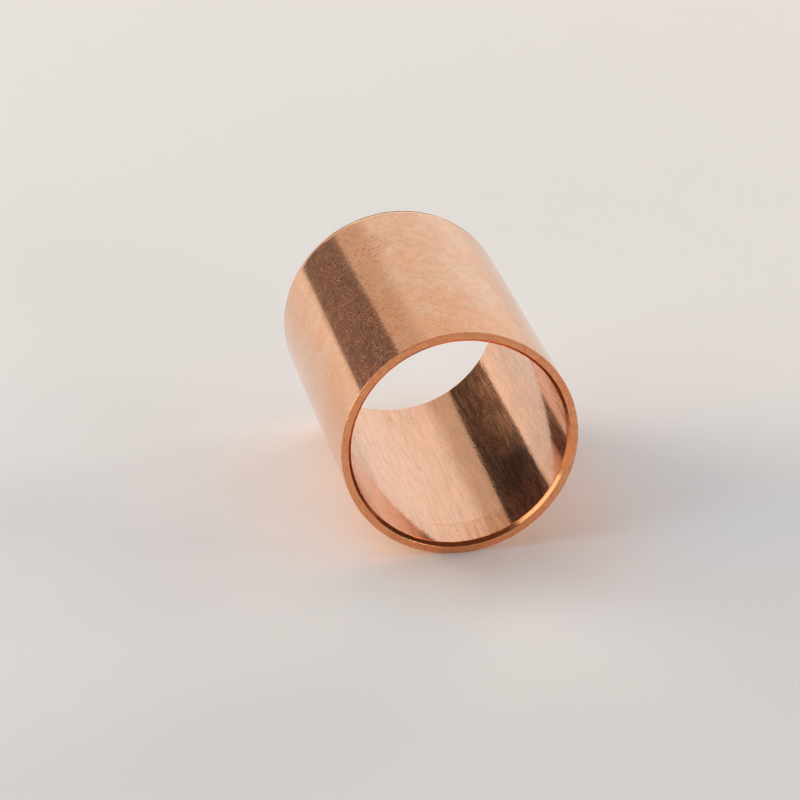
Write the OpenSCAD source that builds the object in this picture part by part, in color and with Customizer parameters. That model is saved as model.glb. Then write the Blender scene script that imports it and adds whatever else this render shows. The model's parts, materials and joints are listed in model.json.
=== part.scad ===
// Straight sleeve coupling: one seamless copper tube that joins two pipes of the same size
// end to end with capillary solder. The sleeve lies on its side, along Y. The origin is the
// middle of its bore, and the bore runs straight through with no stop.

/* [Pipe] */
// Outside diameter of the pipes that the sleeve joins
pipe_od = 22; // [12:1:54]
// Gap all round between a pipe and the bore, which the solder fills
solder_gap = 0.06; // [0.02:0.01:0.15]
// Depth that each pipe goes in
engagement = 15.4; // [8:0.1:32]
// Space left between the ends of the two pipes
pipe_end_gap = 3; // [0:0.1:8]

/* [Wall] */
// Thickness of the sleeve's wall
wall = 1.07; // [0.7:0.01:2]

/* [Ends] */
// Length of the lead-in cone at each mouth
lead_in_length = 0.4; // [0.1:0.05:1]
// Depth of the lead-in cone into the wall
lead_in_depth = 0.33; // [0.1:0.01:0.45]
// Width of the break on each outer corner
corner_break = 0.12; // [0.05:0.01:0.2]

/* [Hidden] */

bore_r = pipe_od / 2 + solder_gap;
outer_r = bore_r + wall;
half_length = engagement + pipe_end_gap / 2;
bright_copper = [0.86, 0.56, 0.43];

// The wall's corners at one end, from the bore outwards, as [distance from the axis,
// distance along it]
end_corners = [
    [bore_r, half_length - lead_in_length],
    [bore_r + lead_in_depth, half_length],
    [outer_r - corner_break, half_length],
    [outer_r, half_length - corner_break]
];

// The same corners at the other end, in the opposite order, so that the two lists make
// one closed outline
function other_end(corners) = [
    for (i = [len(corners) - 1 : -1 : 0]) [corners[i].x, -corners[i].y]
];

// The sleeve: the wall's section, turned about the bore's axis
module sleeve() {
    color(bright_copper)
        rotate([-90, 0, 0])
            rotate_extrude($fn = 128)
                polygon(concat(end_corners, other_end(end_corners)));
}

sleeve();
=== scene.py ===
"""Looks, light and camera for the copper sleeve coupling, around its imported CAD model."""

import json
import math

import bpy
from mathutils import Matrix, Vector, noise


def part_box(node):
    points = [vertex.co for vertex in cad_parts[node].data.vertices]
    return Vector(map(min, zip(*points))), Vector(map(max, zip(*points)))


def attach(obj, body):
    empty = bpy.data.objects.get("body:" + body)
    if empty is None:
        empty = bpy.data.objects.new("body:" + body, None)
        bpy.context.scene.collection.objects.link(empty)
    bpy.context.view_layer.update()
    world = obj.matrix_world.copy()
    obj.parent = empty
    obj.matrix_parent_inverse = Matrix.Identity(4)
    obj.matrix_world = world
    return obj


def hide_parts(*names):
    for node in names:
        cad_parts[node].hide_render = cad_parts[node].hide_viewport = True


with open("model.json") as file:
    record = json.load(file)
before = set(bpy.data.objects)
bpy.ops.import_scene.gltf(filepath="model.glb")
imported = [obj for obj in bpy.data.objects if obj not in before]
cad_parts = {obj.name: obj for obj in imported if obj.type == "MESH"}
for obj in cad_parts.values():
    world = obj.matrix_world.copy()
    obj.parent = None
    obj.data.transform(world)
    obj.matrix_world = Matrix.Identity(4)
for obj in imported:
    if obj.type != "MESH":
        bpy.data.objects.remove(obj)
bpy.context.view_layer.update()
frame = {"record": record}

# ------------------------------------------------------------- sizes, in metres
MM = 0.001
MICRON = 0.001 * MM

MOUNTS = {mount["name"]: mount["dims"] for mount in frame["record"]["mounts"]}
LOWEST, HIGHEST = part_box("sleeve")
OUTER_R = HIGHEST.x
END_Y = HIGHEST.y
BORE_R = MOUNTS["socket_front"]["r_mm"] * MM
BORE_END_Y = MOUNTS["socket_front"]["length_mm"] * MM / 2
LEAD_IN_DEPTH = 0.33 * MM
MOUTH_R = BORE_R + LEAD_IN_DEPTH
FLOOR_Z = LOWEST.z

# the round of the outer corners, finer than the CAD's break, and where the cut face meets it
CORNER_R = 0.04 * MM
RIM_R = OUTER_R - CORNER_R

# how far hand deburring has rounded the two inner edges of each end
MOUTH_ROUND = 0.09 * MM
THROAT_ROUND = 0.16 * MM

# the deepest nick in an outer corner, how far the scraped lead-in wanders, and how far the
# cut face waves
NICK = 0.10 * MM
WANDER = 0.012 * MM
FACE_WAVES = 5 * MICRON

# how many lumps of such wear there are on the way round, coarse and fine, and how high the
# noise of a corner must rise before it is a nick
NICK_LUMPS = (60, 190)
WANDER_LUMPS = (40, 160)
FACE_LUMPS = 70
NICK_FROM = 0.28

# how far the cutter has rolled the outside in at the back, and over what length
BACK_ROLL = 0.09 * MM
ROLL_LENGTH = 0.55 * MM

# a sizing tool has left a fine ring in the bore, this far inside each mouth
RING_Y = END_Y - 4.4 * MM
RING_WIDTH = 0.12 * MM

# ------------------------------------------------------------- the sleeve's mesh
OUTER, CUT, LEAD_IN, BORE = range(4)

# faces on the way round, along each surface of the section, and on each round between them
AROUND = 720
STRIPS = {OUTER: 40, CUT: 6, LEAD_IN: 5, BORE: 36}
ROUND_STEPS = 6

# corners of the section as (r, y, radius of its round, surface that follows it)
FRONT_CORNERS = [
    (BORE_R, -BORE_END_Y, THROAT_ROUND, LEAD_IN),
    (MOUTH_R, -END_Y, MOUTH_ROUND, CUT),
    (OUTER_R, -END_Y, CORNER_R, OUTER),
]
BACK_CORNERS = [
    (OUTER_R, END_Y, CORNER_R, CUT),
    (MOUTH_R, END_Y, MOUTH_ROUND, LEAD_IN),
    (BORE_R, BORE_END_Y, THROAT_ROUND, BORE),
]

# edges that turn by more than this stay sharp
SHARP_ANGLE = math.radians(30)


def fillet(before, at, after, radius):
    """Points of the arc of this radius that rounds off the corner at, first to last."""
    at = Vector(at)
    towards_before = (Vector(before) - at).normalized()
    towards_after = (Vector(after) - at).normalized()
    half = towards_before.angle(towards_after) / 2
    centre = at + (towards_before + towards_after).normalized() * radius / math.sin(half)
    first = at + towards_before * radius / math.tan(half) - centre
    last = at + towards_after * radius / math.tan(half) - centre
    spokes = [first.lerp(last, i / ROUND_STEPS) for i in range(ROUND_STEPS + 1)]
    return [centre + spoke.normalized() * radius for spoke in spokes]


def section():
    """The wall's closed section. A row's surface is that of the strip that follows it."""
    corners = FRONT_CORNERS + BACK_CORNERS
    rows = []
    for i, (r, y, radius, surface) in enumerate(corners):
        before, after = corners[i - 1][:2], corners[(i + 1) % len(corners)][:2]
        arc = fillet(before, (r, y), after, radius)
        round_surface = CUT if radius == CORNER_R else LEAD_IN
        rows += [(p.x, p.y, round_surface) for p in arc[:-1]]
        next_radius = corners[(i + 1) % len(corners)][2]
        beyond = corners[(i + 2) % len(corners)][:2]
        end = fillet((r, y), after, beyond, next_radius)[0]
        steps = STRIPS[surface]
        for k in range(steps):
            share = (1 - math.cos(math.pi * k / steps)) / 2
            rows.append((*arc[-1].lerp(end, share), surface))
    return rows


def around_noise(angle, lumps, seed):
    """Smooth noise from -1 to 1 with this many lumps on its way round the sleeve."""
    reach = lumps / (2 * math.pi)
    spot = Vector((math.cos(angle) * reach, math.sin(angle) * reach, seed))
    return noise.noise(spot)


def worn(r, y, angle):
    """Where the saw, the scraper and handling leave a point of the section."""
    side = 1 if y > 0 else -1
    # each end has its own noise, and so has each kind of wear
    seed = 10.3 * side
    if abs(y) < BORE_END_Y:
        return r, y
    if r < MOUTH_R + MOUTH_ROUND:
        coarse = WANDER * around_noise(angle, WANDER_LUMPS[0], seed)
        fine = 0.3 * WANDER * around_noise(angle, WANDER_LUMPS[1], seed)
        return r - abs(coarse + fine), y
    if r > RIM_R:
        rolled = max(0.0, 1 - (END_Y - y) / ROLL_LENGTH)
        r -= BACK_ROLL * rolled * rolled
        coarse = around_noise(angle, NICK_LUMPS[0], seed + 3)
        fine = 0.6 * around_noise(angle, NICK_LUMPS[1], seed + 5)
        dent = NICK * max(0.0, coarse + fine - NICK_FROM)
        return r - 0.6 * dent * (r - RIM_R) / CORNER_R, y - side * dent
    wave = FACE_WAVES * around_noise(angle, FACE_LUMPS, seed + 7 + r / (0.3 * MM))
    return r, y - side * abs(wave)


def put(name, data):
    """A new object in the scene, holding a mesh, a light or a camera."""
    made = bpy.data.objects.new(name, data)
    bpy.context.scene.collection.objects.link(made)
    return made


def lathe(name, rows, materials):
    """The section turned about the bore's axis, which runs along Y."""
    points, faces, surfaces = [], [], []
    for i in range(AROUND):
        angle = 2 * math.pi * i / AROUND
        for r, y, _ in rows:
            r, y = worn(r, y, angle)
            points.append((r * math.sin(angle), y, r * math.cos(angle)))
    count = len(rows)
    for i in range(AROUND):
        here, there = i * count, (i + 1) % AROUND * count
        for j in range(count):
            k = (j + 1) % count
            faces.append((here + j, here + k, there + k, there + j))
            surfaces.append(rows[j][2])
    mesh = bpy.data.meshes.new(name)
    mesh.from_pydata(points, [], faces)
    for material in materials:
        mesh.materials.append(material)
    mesh.polygons.foreach_set("material_index", surfaces)
    mesh.shade_smooth()
    mesh.set_sharp_from_angle(angle=SHARP_ANGLE)
    mesh.update()
    return put(name, mesh)


# ------------------------------------------------------------- materials
# the sockets of a Mix node that blends colours
MIX_SHARE, MIX_FIRST, MIX_SECOND, MIX_RESULT = 0, 6, 7, 2


class Graph:
    """The nodes of a material or a world. An input takes a number, a colour or an output."""

    def __init__(self, owner):
        owner.use_nodes = True
        self.owner = owner
        self.tree = owner.node_tree

    def add(self, kind, values=(), **settings):
        """A new node with these settings, and these values by input name or number."""
        made = self.tree.nodes.new(kind)
        for setting, value in settings.items():
            setattr(made, setting, value)
        for socket, value in dict(values).items():
            if isinstance(value, bpy.types.NodeSocket):
                self.tree.links.new(value, made.inputs[socket])
            else:
                made.inputs[socket].default_value = value
        return made

    def calc(self, operation, first, second=0.0):
        """The outcome of one Math node."""
        return self.add("ShaderNodeMath", {0: first, 1: second}, operation=operation).outputs[0]

    def place(self, stretch=(1, 1, 1), centre=(0, 0, 0), turn=(0, 0, 0)):
        """Object coordinates. A small stretch factor draws marks out along that axis."""
        spot = self.add("ShaderNodeTexCoord").outputs["Object"]
        moved = self.add("ShaderNodeVectorMath", {0: spot, 1: centre}, operation="SUBTRACT")
        values = {"Vector": moved.outputs[0], "Rotation": turn, "Scale": stretch}
        return self.add("ShaderNodeMapping", values).outputs[0]

    def cloud(self, where, size, detail=2.0, distortion=0.0):
        """Smooth noise from 0 to 1 with lumps of about this size."""
        values = {"Vector": where, "Scale": 1 / size, "Detail": detail, "Distortion": distortion}
        return self.add("ShaderNodeTexNoise", values).outputs["Fac"]

    def step(self, value, low, high, to_low=0.0, to_high=1.0):
        """A smooth change from to_low to to_high as value goes from low to high."""
        values = {0: value, 1: low, 2: high, 3: to_low, 4: to_high}
        ramp = self.add("ShaderNodeMapRange", values, interpolation_type="SMOOTHSTEP")
        return ramp.outputs[0]

    def ridge(self, value, width):
        """Thin curved lines: 1 where a cloud crosses its middle, 0 at width from it."""
        off = self.calc("ABSOLUTE", self.calc("SUBTRACT", value, 0.5))
        return self.step(off, 0.0, width, 1.0, 0.0)

    def patch(self, centre, radius):
        """1 at a place on the sleeve, fading out by radius from it."""
        values = {0: self.add("ShaderNodeTexCoord").outputs["Object"], 1: centre}
        away = self.add("ShaderNodeVectorMath", values, operation="DISTANCE").outputs["Value"]
        return self.step(away, 0.3 * radius, radius, 1.0, 0.0)

    def blend(self, share, first, second):
        """The first colour where share is 0, and the second where it is 1."""
        values = {MIX_SHARE: share, MIX_FIRST: first, MIX_SECOND: second}
        return self.add("ShaderNodeMix", values, data_type="RGBA").outputs[MIX_RESULT]

    def bump(self, height, depth):
        """A normal that follows a height from 0 to 1, where 1 stands for depth."""
        return self.add("ShaderNodeBump", {"Height": height, "Distance": depth}).outputs[0]

    def finish(self, shader):
        """The material, with this shader as its surface."""
        self.tree.links.new(shader, self.tree.nodes["Material Output"].inputs["Surface"])
        return self.owner


def new_material(name):
    """The nodes of a new material that has only its output so far."""
    g = Graph(bpy.data.materials.new(name))
    g.tree.nodes.remove(g.tree.nodes["Principled BSDF"])
    return g


def rgb(red, green, blue):
    """An opaque colour."""
    return (red, green, blue, 1.0)


def millimetres(x, y, z):
    """A place given in millimetres, in metres."""
    return (x * MM, y * MM, z * MM)


# the scale at which one ripple of Blender's wave texture is a metre long
WAVE = math.pi / 10

# the colour of the thin film that air and hands leave, unless a surface has its own
FILM = rgb(0.52, 0.21, 0.12)
FILM_SPECULAR = 0.1


def copper(g, colour, roughness, haze, normal, film=FILM, metal=0.0, dullness=0.7):
    """Metal under a thin uneven film. Haze is the share of light that the film scatters, and
    metal and dullness say how metallic and how rough the film is."""
    values = {"Base Color": colour, "Metallic": 1.0, "Roughness": roughness, "Normal": normal}
    bright = g.add("ShaderNodeBsdfPrincipled", values).outputs[0]
    values = {"Base Color": film, "Metallic": metal, "Roughness": dullness, "Normal": normal}
    values["Specular IOR Level"] = FILM_SPECULAR
    dull = g.add("ShaderNodeBsdfPrincipled", values).outputs[0]
    return g.finish(g.add("ShaderNodeMixShader", {0: haze, 1: bright, 2: dull}).outputs[0])


def smears(g):
    """Strokes of a finger across the top, near the back end."""
    centre = millimetres(-4.0, 8.8, 11.5)
    lines = g.add(
        "ShaderNodeTexWave",
        {
            "Vector": g.place(centre=centre, turn=(0, 0, math.radians(75))),
            "Scale": WAVE / (0.85 * MM),
            "Distortion": 3.0,
            "Detail": 2.0,
        },
    ).outputs["Fac"]
    return g.calc("MULTIPLY", lines, g.patch(centre, 3.4 * MM))


def finger_ripples(g):
    """The ridges of a fingerprint on the top, near the middle."""
    lines = g.add(
        "ShaderNodeTexWave",
        {
            "Vector": g.place(centre=millimetres(-1.0, -7.0, 11.9)),
            "Scale": WAVE / (0.42 * MM),
            "Distortion": 1.6,
            "Detail": 1.0,
        },
        wave_type="RINGS",
        rings_direction="SPHERICAL",
    ).outputs["Fac"]
    return g.calc("MULTIPLY", lines, g.patch(millimetres(2.3, -2.9, 11.9), 3.4 * MM))


def outer_wall():
    """Drawn and handled copper: grain, hairline scratches, blotches, smears, a fingerprint."""
    g = new_material("outer_wall")
    handled, polished = rgb(0.88, 0.46, 0.245), rgb(0.89, 0.60, 0.40)
    tarnished, cut_clean = rgb(0.80, 0.40, 0.20), rgb(0.98, 0.63, 0.32)
    pale_film, brown_film = rgb(0.80, 0.37, 0.23), rgb(0.30, 0.105, 0.055)
    rubbed_film = rgb(0.95, 0.60, 0.48)

    blotches = g.cloud(g.place((1, 0.6, 1)), 5.0 * MM, 6.0, 0.5)
    mottle = g.cloud(g.place((1, 0.7, 1)), 1.1 * MM, 4.0, 0.6)
    grain = g.cloud(g.place((1, 0.7, 1)), 0.2 * MM, 3.0, 0.5)
    lumps = g.cloud(g.place((1, 0.6, 1)), 0.45 * MM, 2.0)
    curls = g.ridge(g.cloud(g.place(), 0.6 * MM, 2.0, 1.5), 0.035)
    hairs = g.ridge(g.cloud(g.place(), 1.8 * MM, 2.0, 1.5), 0.01)
    smeared = smears(g)
    along = g.add("ShaderNodeSeparateXYZ", {0: g.place()}).outputs["Y"]
    # the marks are fainter towards the front
    strength = g.step(along, -14 * MM, 6 * MM, 0.55, 1.0)
    specks = g.calc("MULTIPLY", g.step(grain, 0.4, 0.62), strength)
    rubbed = g.calc("MULTIPLY", g.calc("MULTIPLY", curls, g.step(mottle, 0.45, 0.6)), strength)
    # the cutter has left the rolled edge at the back clean
    rolled = g.step(along, END_Y - 0.8 * MM, END_Y - 0.35 * MM)

    clean = g.step(along, -14 * MM, 14 * MM, -0.15, 0.3)
    clean = g.calc("ADD", clean, g.step(blotches, 0.3, 0.7))
    tint = g.blend(clean, handled, polished)
    tint = g.blend(g.calc("MULTIPLY", specks, 0.2), tint, tarnished)
    tint = g.blend(rolled, tint, cut_clean)

    film = g.blend(g.step(grain, 0.32, 0.66), pale_film, brown_film)
    film = g.blend(g.calc("MULTIPLY", rubbed, 0.8), film, rubbed_film)

    rough = g.calc("ADD", g.calc("MULTIPLY", specks, 0.07), 0.055)
    rough = g.calc("ADD", rough, g.calc("MULTIPLY", smeared, 0.1))

    grazing = g.add("ShaderNodeLayerWeight", {"Blend": 0.5}).outputs["Facing"]
    haze = g.step(mottle, 0.3, 0.7, 0.38, 0.25)
    haze = g.calc("ADD", haze, g.calc("MULTIPLY", smeared, 0.35))
    haze = g.calc("MULTIPLY", haze, g.step(grazing, 0.55, 0.95, 1.0, 0.25))
    haze = g.calc("MULTIPLY", haze, g.calc("SUBTRACT", 1.0, g.calc("MULTIPLY", rolled, 0.8)))

    height = g.calc("ADD", g.calc("MULTIPLY", grain, 0.5), g.calc("MULTIPLY", lumps, 0.22))
    height = g.calc("ADD", height, g.calc("MULTIPLY", hairs, 0.4))
    height = g.calc("ADD", height, g.calc("MULTIPLY", finger_ripples(g), 0.6))
    return copper(g, tint, rough, haze, g.bump(height, 4 * MICRON), film)


def bore_wall():
    """Drawn copper: fine streaks along it, specks, and a ring and a brown film by each mouth."""
    g = new_material("bore_wall")
    pale, warm = rgb(0.99, 0.655, 0.475), rgb(0.98, 0.62, 0.43)
    browned, stained = rgb(0.82, 0.38, 0.19), rgb(0.76, 0.33, 0.13)
    corroded, scored = rgb(0.50, 0.18, 0.07), rgb(0.70, 0.27, 0.10)
    warm_film, bright_film = rgb(0.70, 0.32, 0.17), rgb(0.90, 0.46, 0.26)
    dark_streak = rgb(0.29, 0.08, 0.03)

    along = g.add("ShaderNodeSeparateXYZ", {0: g.place()}).outputs["Y"]
    from_middle = g.calc("ABSOLUTE", along)
    by_mouth = g.step(from_middle, 5 * MM, END_Y)
    outside_ring = g.step(from_middle, RING_Y - 0.1 * MM, RING_Y + 0.4 * MM)
    off_ring = g.calc("ABSOLUTE", g.calc("SUBTRACT", from_middle, RING_Y))
    ring = g.step(off_ring, 0.0, RING_WIDTH, 1.0, 0.0)
    ring = g.calc("MULTIPLY", ring, g.step(g.cloud(g.place(), 3.0 * MM), 0.35, 0.55, 0.3, 1.0))
    ring = g.calc("MULTIPLY", ring, g.step(along, -1 * MM, 1 * MM, 1.0, 0.25))

    streaks = g.cloud(g.place((1, 0.05, 1)), 0.2 * MM, 4.0)
    broad = g.cloud(g.place((1, 0.07, 1)), 0.6 * MM, 3.0)
    grain = g.cloud(g.place((1, 0.45, 1)), 0.2 * MM, 3.0)
    scuffs = g.cloud(g.place((1, 0.5, 1)), 2.5 * MM, 4.0, 0.8)
    brown = g.calc("MULTIPLY", g.step(broad, 0.5, 0.75), by_mouth)
    stain = g.calc("MULTIPLY", outside_ring, g.patch(millimetres(5.6, -15.5, -9.5), 9 * MM))
    stain = g.calc("MULTIPLY", stain, g.step(broad, 0.35, 0.6, 0.35, 1.0))
    pitted = g.calc("MULTIPLY", outside_ring, 0.03)
    pitted = g.calc("ADD", pitted, g.calc("MULTIPLY", stain, 0.085))
    pits = g.step(g.calc("ADD", grain, pitted), 0.67, 0.73)

    tint = g.blend(g.step(broad, 0.3, 0.75), pale, warm)
    tint = g.blend(g.calc("MULTIPLY", brown, 0.4), tint, browned)
    tint = g.blend(g.calc("MULTIPLY", stain, 0.6), tint, stained)
    tint = g.blend(g.calc("MULTIPLY", pits, 0.8), tint, corroded)
    tint = g.blend(g.calc("MULTIPLY", ring, 0.95), tint, scored)

    film = g.blend(g.step(grain, 0.35, 0.65), warm_film, bright_film)
    film = g.blend(g.step(streaks, 0.40, 0.62, 0.0, 0.75), film, dark_streak)

    rough = g.step(streaks, 0.35, 0.7, 0.035, 0.06)
    haze = g.step(grain, 0.35, 0.7, 0.34, 0.31)
    haze = g.calc("ADD", g.calc("MULTIPLY", brown, 0.06), haze)
    haze = g.calc("ADD", haze, g.step(scuffs, 0.45, 0.7, 0.0, 0.05))
    normal = g.bump(g.calc("ADD", grain, g.calc("MULTIPLY", streaks, 0.6)), 4.8 * MICRON)
    return copper(g, tint, rough, haze, normal, film, metal=1.0, dullness=0.33)


def cut_face():
    """The end face, trimmed and tumbled: satin, with a fine even grain and faint patches."""
    g = new_material("cut_face")
    deep, warm = rgb(0.85, 0.31, 0.135), rgb(0.89, 0.385, 0.19)
    raised, sunk = rgb(0.95, 0.44, 0.22), rgb(0.62, 0.22, 0.09)
    film = rgb(0.50, 0.17, 0.075)

    grain = g.cloud(g.place(), 0.14 * MM, 4.0)
    patches = g.cloud(g.place(), 1.0 * MM, 4.0)
    tint = g.blend(g.step(patches, 0.35, 0.65), deep, warm)
    tint = g.blend(g.step(grain, 0.40, 0.62, 0.0, 0.6), tint, raised)
    tint = g.blend(g.step(grain, 0.35, 0.50, 0.5, 0.0), tint, sunk)
    haze = g.step(grain, 0.35, 0.65, 0.16, 0.04)
    satin = 0.285
    return copper(g, tint, satin, haze, g.bump(grain, 14 * MICRON), film)


def lead_in():
    """The scraped lead-in: bright, with fine tool lines that run round it."""
    g = new_material("lead_in")
    deep, warm = rgb(0.86, 0.27, 0.08), rgb(0.92, 0.41, 0.18)

    rings = g.cloud(g.place((0.25, 5, 0.25)), 0.25 * MM, 3.0)
    grain = g.cloud(g.place(), 0.2 * MM, 3.0)
    tint = g.blend(grain, deep, warm)
    rough = g.step(grain, 0.35, 0.65, 0.12, 0.22)
    return copper(g, tint, rough, haze=0.05, normal=g.bump(rings, 6 * MICRON))


sleeve = lathe("copper_sleeve", section(), [outer_wall(), cut_face(), lead_in(), bore_wall()])
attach(sleeve, "root")
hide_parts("sleeve")

# ------------------------------------------------------------- stage
# how far the floor reaches each way, which takes it past the wall behind
FLOOR_REACH = 1.0

# the wall behind stands at BACK_Y and is BACK_TOP high. From BACK_LEFT to CARD_RIGHT it is a
# dark card of painted shade with a glowing strip of painted light below CARD_BOTTOM, and from there
# to BACK_RIGHT it is lit
BACK_Y = 0.85
BACK_TOP = 0.9
BACK_LEFT, CARD_RIGHT, BACK_RIGHT = -1.2, -0.262, 1.6
CARD_BOTTOM = 1 * MM


def sheet(name, corners, material):
    """A flat four-cornered piece of the stage."""
    mesh = bpy.data.meshes.new(name)
    mesh.from_pydata(corners, [], [(0, 1, 2, 3)])
    mesh.materials.append(material)
    made = put(name, mesh)
    return made


def upright(name, x0, x1, z0, z1, material):
    """A sheet across the back. The camera doesn't see it, but the copper mirrors it."""
    places = ((x0, z0), (x1, z0), (x1, z1), (x0, z1))
    made = sheet(name, [(x, BACK_Y, z) for x, z in places], material)
    made.visible_camera = False
    return made


def glowing(g, colour):
    """A surface that shines with this colour."""
    return g.finish(g.add("ShaderNodeEmission", {"Color": colour}).outputs[0])


def floor_with_painted_light():
    """Pale paper with painted light and shade: painted shade towards the front, a paler band of
    painted light by the sleeve's front end, painted shade greyer far off to the left, and a painted
    glow towards the wall.
    """
    g = new_material("floor_with_painted_light")
    near, middle, far = rgb(0.82, 0.79, 0.76), rgb(0.89, 0.86, 0.83), rgb(0.85, 0.82, 0.79)
    off_left = rgb(0.74, 0.71, 0.68)
    from_wall = rgb(0.34, 0.31, 0.28)

    place = g.add("ShaderNodeSeparateXYZ", {0: g.place()}).outputs
    # painted shade towards the front, and a paler band of painted light by the sleeve's front end
    colour = g.blend(g.step(place["Y"], -0.055, -0.025), near, middle)
    colour = g.blend(g.step(place["Y"], 0.0, 0.10), colour, far)
    # painted shade: the floor greyer far off to the left
    colour = g.blend(g.step(place["X"], -0.24, -0.07), off_left, colour)
    # painted light: the floor glows towards the wall, standing in for the light the wall would
    # throw on it
    values = {"Base Color": colour, "Roughness": 0.9, "Emission Color": from_wall}
    values["Emission Strength"] = g.step(place["Y"], 0.36, BACK_Y)
    return g.finish(g.add("ShaderNodeBsdfPrincipled", values).outputs[0])


def wall_glow_with_painted_shade():
    """The lit wall behind, a glowing sheet, with painted shade that makes it dimmer and warmer
    towards the dark card and at its foot on the right.
    """
    g = new_material("back_glow")
    by_card, middle, right = rgb(0.63, 0.52, 0.42), rgb(0.93, 0.87, 0.82), rgb(0.97, 0.94, 0.91)
    right_foot = rgb(0.92, 0.86, 0.80)

    place = g.add("ShaderNodeSeparateXYZ", {0: g.place()}).outputs
    # painted shade: dimmer and warmer towards the dark card
    light = g.blend(g.step(place["X"], -0.16, 0.0), by_card, middle)
    light = g.blend(g.step(place["X"], 0.0, 0.3), light, right)
    # painted shade: dimmer and warmer at the wall's foot on the right
    foot = g.step(place["Z"], FLOOR_Z, 0.16, 1.0, 0.0)
    foot = g.calc("MULTIPLY", g.step(place["X"], 0.1, 0.3), foot)
    light = g.blend(foot, light, right_foot)
    return glowing(g, light)


sheet(
    "floor",
    [
        (-FLOOR_REACH, -FLOOR_REACH, FLOOR_Z),
        (FLOOR_REACH, -FLOOR_REACH, FLOOR_Z),
        (FLOOR_REACH, FLOOR_REACH, FLOOR_Z),
        (-FLOOR_REACH, FLOOR_REACH, FLOOR_Z),
    ],
    floor_with_painted_light(),
)

backdrop = upright("backdrop", CARD_RIGHT, BACK_RIGHT, FLOOR_Z, BACK_TOP, wall_glow_with_painted_shade())
# the wall is only mirrored: lamps and the floor's own glow stand in for its light
backdrop.visible_diffuse = False

# painted shade: a near-black glowing sheet that the copper mirrors as darkness
painted_darkness = glowing(new_material("painted_darkness"), rgb(0.012, 0.012, 0.012))
upright("painted_dark_card", BACK_LEFT, CARD_RIGHT, CARD_BOTTOM, BACK_TOP, painted_darkness)
# painted light: a glowing strip along the foot of the dark card
painted_light_strip = glowing(new_material("painted_light_strip"), rgb(0.76, 0.68, 0.60))
upright("painted_light_strip", BACK_LEFT, CARD_RIGHT, FLOOR_Z, CARD_BOTTOM, painted_light_strip)

# ------------------------------------------------------------- lights
LIGHT_DISTANCE = 0.75


def softbox(name, azimuth, elevation, width, height, radiance, mirrored=True):
    """A soft light aimed at the sleeve. Azimuth is measured from +Y towards +X, in degrees.
    One that isn't mirrored still lights the floor and the film on the outside."""
    light = bpy.data.lights.new(name, "AREA")
    light.shape = "RECTANGLE"
    light.size, light.size_y = width, height
    brightest = max(radiance)
    light.color = [channel / brightest for channel in radiance]
    light.energy = brightest * math.pi * width * height
    lamp = put(name, light)
    turn, rise = math.radians(azimuth), math.radians(elevation)
    level = math.cos(rise)
    away = Vector((math.sin(turn) * level, math.cos(turn) * level, math.sin(rise)))
    lamp.location = LIGHT_DISTANCE * away
    lamp.rotation_euler = (-away).to_track_quat("-Z", "Y").to_euler()
    lamp.visible_camera = False
    lamp.visible_glossy = mirrored


# name, azimuth, elevation, width, height, and the red, green and blue that it shines with
softbox("key", -108, 26, 0.33, 0.64, (1.50, 1.75, 1.95))
softbox("left_low", -82, 12, 0.25, 0.24, (10.2, 7.0, 4.6))
softbox("left_back_low", -62, 12, 0.20, 0.24, (13.6, 11.8, 9.0))
softbox("back_left_low", -46, 12, 0.15, 0.24, (11.4, 9.6, 7.4))
softbox("left_back", -50, 34, 0.35, 0.26, (1.8, 1.5, 1.4))
softbox("left_high", -80, 60, 0.30, 0.35, (0.7, 1.1, 1.4))
softbox("back_high", 15, 56, 0.50, 0.32, (1.3, 1.05, 0.95))
softbox("right_wall", 85, 4, 1.10, 0.24, (0.70, 0.64, 0.58))
softbox("front_left", 151, 18, 0.20, 0.12, (9.6, 9.4, 9.6))
softbox("left_back_fill", -35, 58, 0.40, 0.30, (0.2, 1.3, 1.8), mirrored=False)
softbox("right_low", 77, 10, 0.30, 0.20, (15.2, 13.3, 11.3), mirrored=False)
softbox("right_back", 38, 22, 0.30, 0.20, (5.6, 5.0, 4.6), mirrored=False)
softbox("right_front", 105, 18, 0.30, 0.20, (7.2, 5.9, 5.2), mirrored=False)
softbox("fill_above", 0, 85, 0.90, 0.90, (0.12, 0.17, 0.27), mirrored=False)


def studio_air():
    """Dim warm light all round, brighter overhead, and plain pale past the floor's edge."""
    g = Graph(bpy.data.worlds.new("studio"))
    place = g.add("ShaderNodeTexCoord").outputs["Generated"]
    height = g.add("ShaderNodeSeparateXYZ", {0: place}).outputs["Z"]
    air = g.add("ShaderNodeValToRGB", {0: height})
    level, overhead = air.color_ramp.elements
    level.position = 0.70
    level.color = rgb(0.050, 0.042, 0.036)
    overhead.position = 0.88
    overhead.color = rgb(0.10, 0.060, 0.040)
    seen = g.add("ShaderNodeLightPath").outputs["Is Camera Ray"]
    light = g.blend(seen, air.outputs[0], rgb(0.78, 0.76, 0.73))
    g.tree.links.new(light, g.tree.nodes["Background"].inputs["Color"])
    return g.owner


bpy.context.scene.world = studio_air()

# ------------------------------------------------------------- camera
SENSOR_WIDTH = 36
LENS = 161.9

# where the camera is, from the middle of the front end and in outer radii, and its aim
CAMERA_PLACE = Vector((-5.771, -26.281, 12.527))
CAMERA_AIM = Vector((0.1790, 0.8939, -0.4109))

camera = put("camera", bpy.data.cameras.new("camera"))
camera.data.sensor_width = SENSOR_WIDTH
camera.data.lens = LENS
camera.location = Vector((0, -END_Y, 0)) + OUTER_R * CAMERA_PLACE
camera.rotation_euler = CAMERA_AIM.to_track_quat("-Z", "Y").to_euler()
bpy.context.scene.camera = camera
bpy.context.scene.view_settings.view_transform = "Standard"
